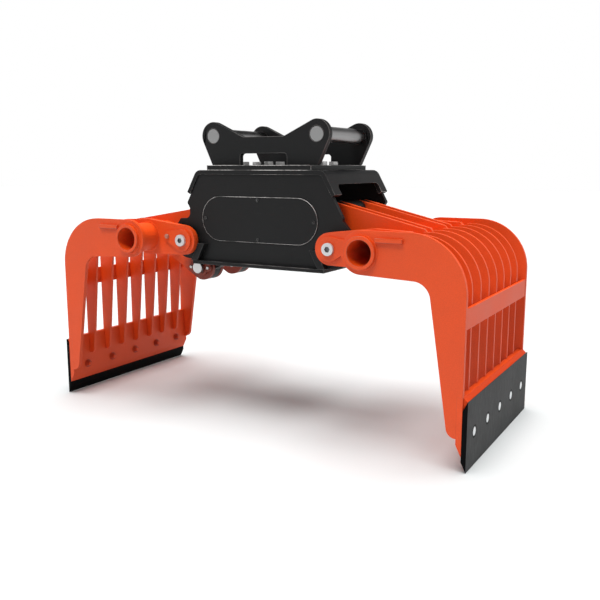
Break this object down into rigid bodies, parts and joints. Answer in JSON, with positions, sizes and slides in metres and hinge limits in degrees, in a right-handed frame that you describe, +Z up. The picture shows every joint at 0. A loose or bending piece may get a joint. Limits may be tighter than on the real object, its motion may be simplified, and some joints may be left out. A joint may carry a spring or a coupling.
{
  "type": "hydraulic sorting grapple",
  "caption": "Hydraulic sorting grapple: ribbed jaws on a central body with a quick-hitch adapter on top, shown fully open on its cutting edges.",
  "frame": {"origin": "floor level under the middle of the grapple", "axes": "+X the way the jaws open, +Y across the jaws away from the pictured side, +Z up"},
  "size_m": [1.85, 0.838, 1.1899],
  "materials": {
    "hitch_ear_front": "satin",
    "hitch_ear_rear": "satin",
    "hitch_base_plate": "satin",
    "hitch_pin_left": "satin",
    "hitch_pin_right": "satin",
    "hitch_bolts": "satin",
    "body_shell": "satin",
    "body_plate_front": "satin",
    "body_plate_rear": "satin",
    "body_floor": "satin",
    "cover_front": "satin",
    "cover_rear": "satin",
    "cover_screws": "satin",
    "pivot_bushes": "satin",
    "thrust_washers": "satin",
    "closing_stops": "satin",
    "port_block": "satin",
    "left_side_plate_front": "satin",
    "left_side_plate_rear": "satin",
    "left_stiffener_bars": "satin",
    "left_ribs": "satin",
    "left_crossbar": "satin",
    "left_edge_carrier": "satin",
    "left_blade": "satin",
    "left_blade_bolts": "satin",
    "left_blade_nuts": "satin",
    "left_torque_tube": "satin",
    "left_top_plate": "satin",
    "left_pivot_arm_front": "satin",
    "left_pivot_arm_rear": "satin",
    "left_pivot_pins": "satin",
    "left_keeper_plates": "satin",
    "left_keeper_bolts": "satin",
    "left_lever_plates": "satin",
    "left_lever_pins": "satin",
    "left_lug_pins": "satin",
    "right_side_plate_front": "satin",
    "right_side_plate_rear": "satin",
    "right_stiffener_bars": "satin",
    "right_ribs": "satin",
    "right_crossbar": "satin",
    "right_edge_carrier": "satin",
    "right_blade": "satin",
    "right_blade_bolts": "satin",
    "right_blade_nuts": "satin",
    "right_torque_tube": "satin",
    "right_top_plate": "satin",
    "right_pivot_arm_front": "satin",
    "right_pivot_arm_rear": "satin",
    "right_pivot_pins": "satin",
    "right_keeper_plates": "satin",
    "right_keeper_bolts": "satin",
    "right_lever_plates": "satin",
    "right_lever_pins": "satin",
    "cylinder_barrel": "satin",
    "cylinder_gland": "satin",
    "cylinder_piston": "satin",
    "cylinder_rod": "satin",
    "timing_link_front": "satin",
    "timing_link_rear": "satin"
  },
  "bodies": {
    "frame": {"hitch_ear_front": "hitch_ear_front", "hitch_ear_rear": "hitch_ear_rear", "hitch_base_plate": "hitch_base_plate", "hitch_pin_left": "hitch_pin_left", "hitch_pin_right": "hitch_pin_right", "hitch_bolts": "hitch_bolts", "body_shell": "body_shell", "body_plate_front": "body_plate_front", "body_plate_rear": "body_plate_rear", "body_floor": "body_floor", "cover_front": "cover_front", "cover_rear": "cover_rear", "cover_screws": "cover_screws", "pivot_bushes": "pivot_bushes", "thrust_washers": "thrust_washers", "closing_stops": "closing_stops", "port_block": "port_block"},
    "jaw_left": {"left_side_plate_front": "left_side_plate_front", "left_side_plate_rear": "left_side_plate_rear", "left_stiffener_bars": "left_stiffener_bars", "left_ribs": "left_ribs", "left_crossbar": "left_crossbar", "left_edge_carrier": "left_edge_carrier", "left_blade": "left_blade", "left_blade_bolts": "left_blade_bolts", "left_blade_nuts": "left_blade_nuts", "left_torque_tube": "left_torque_tube", "left_top_plate": "left_top_plate", "left_pivot_arm_front": "left_pivot_arm_front", "left_pivot_arm_rear": "left_pivot_arm_rear", "left_pivot_pins": "left_pivot_pins", "left_keeper_plates": "left_keeper_plates", "left_keeper_bolts": "left_keeper_bolts", "left_lever_plates": "left_lever_plates", "left_lever_pins": "left_lever_pins", "left_lug_pins": "left_lug_pins"},
    "jaw_right": {"right_side_plate_front": "right_side_plate_front", "right_side_plate_rear": "right_side_plate_rear", "right_stiffener_bars": "right_stiffener_bars", "right_ribs": "right_ribs", "right_crossbar": "right_crossbar", "right_edge_carrier": "right_edge_carrier", "right_blade": "right_blade", "right_blade_bolts": "right_blade_bolts", "right_blade_nuts": "right_blade_nuts", "right_torque_tube": "right_torque_tube", "right_top_plate": "right_top_plate", "right_pivot_arm_front": "right_pivot_arm_front", "right_pivot_arm_rear": "right_pivot_arm_rear", "right_pivot_pins": "right_pivot_pins", "right_keeper_plates": "right_keeper_plates", "right_keeper_bolts": "right_keeper_bolts", "right_lever_plates": "right_lever_plates", "right_lever_pins": "right_lever_pins"},
    "barrel": {"cylinder_barrel": "cylinder_barrel", "cylinder_gland": "cylinder_gland"},
    "rod": {"cylinder_piston": "cylinder_piston", "cylinder_rod": "cylinder_rod"},
    "link_front": {"timing_link_front": "timing_link_front"},
    "link_rear": {"timing_link_rear": "timing_link_rear"}
  },
  "joints": [
    {"name": "jaw_left_pivot", "type": "hinge", "parent": "frame", "child": "jaw_left", "pos_m": [-0.3435, 0, 0.7114], "axis": [0, -1, 0], "range_deg": [0, 61]},
    {"name": "jaw_right_pivot", "type": "hinge", "parent": "frame", "child": "jaw_right", "pos_m": [0.3435, 0, 0.7114], "axis": [0, 1, 0], "range_deg": [0, 61]},
    {"name": "cylinder_barrel_pivot", "type": "hinge", "parent": "jaw_left", "child": "barrel", "pos_m": [-0.288, 0, 0.838], "axis": [0, 1, 0], "range_deg": [0, 61]},
    {"name": "cylinder_rod_pivot", "type": "hinge", "parent": "jaw_right", "child": "rod", "pos_m": [0.288, 0, 0.838], "axis": [0, -1, 0], "range_deg": [0, 61]},
    {"name": "timing_link_front_pivot", "type": "hinge", "parent": "jaw_left", "child": "link_front", "pos_m": [-0.347, -0.108, 0.585], "axis": [0, 1, 0], "range_deg": [0, 68]},
    {"name": "timing_link_rear_pivot", "type": "hinge", "parent": "jaw_left", "child": "link_rear", "pos_m": [-0.347, 0.108, 0.585], "axis": [0, 1, 0], "range_deg": [0, 68]}
  ],
  "couplings": [
    {"joint": "jaw_right_pivot", "follows": "jaw_left_pivot", "ratio": 1},
    {"joint": "cylinder_barrel_pivot", "follows": "jaw_left_pivot", "ratio": 1},
    {"joint": "cylinder_rod_pivot", "follows": "jaw_left_pivot", "ratio": 1},
    {"joint": "timing_link_front_pivot", "follows": "jaw_left_pivot", "ratio": 1.1143},
    {"joint": "timing_link_rear_pivot", "follows": "jaw_left_pivot", "ratio": 1.1143}
  ]
}
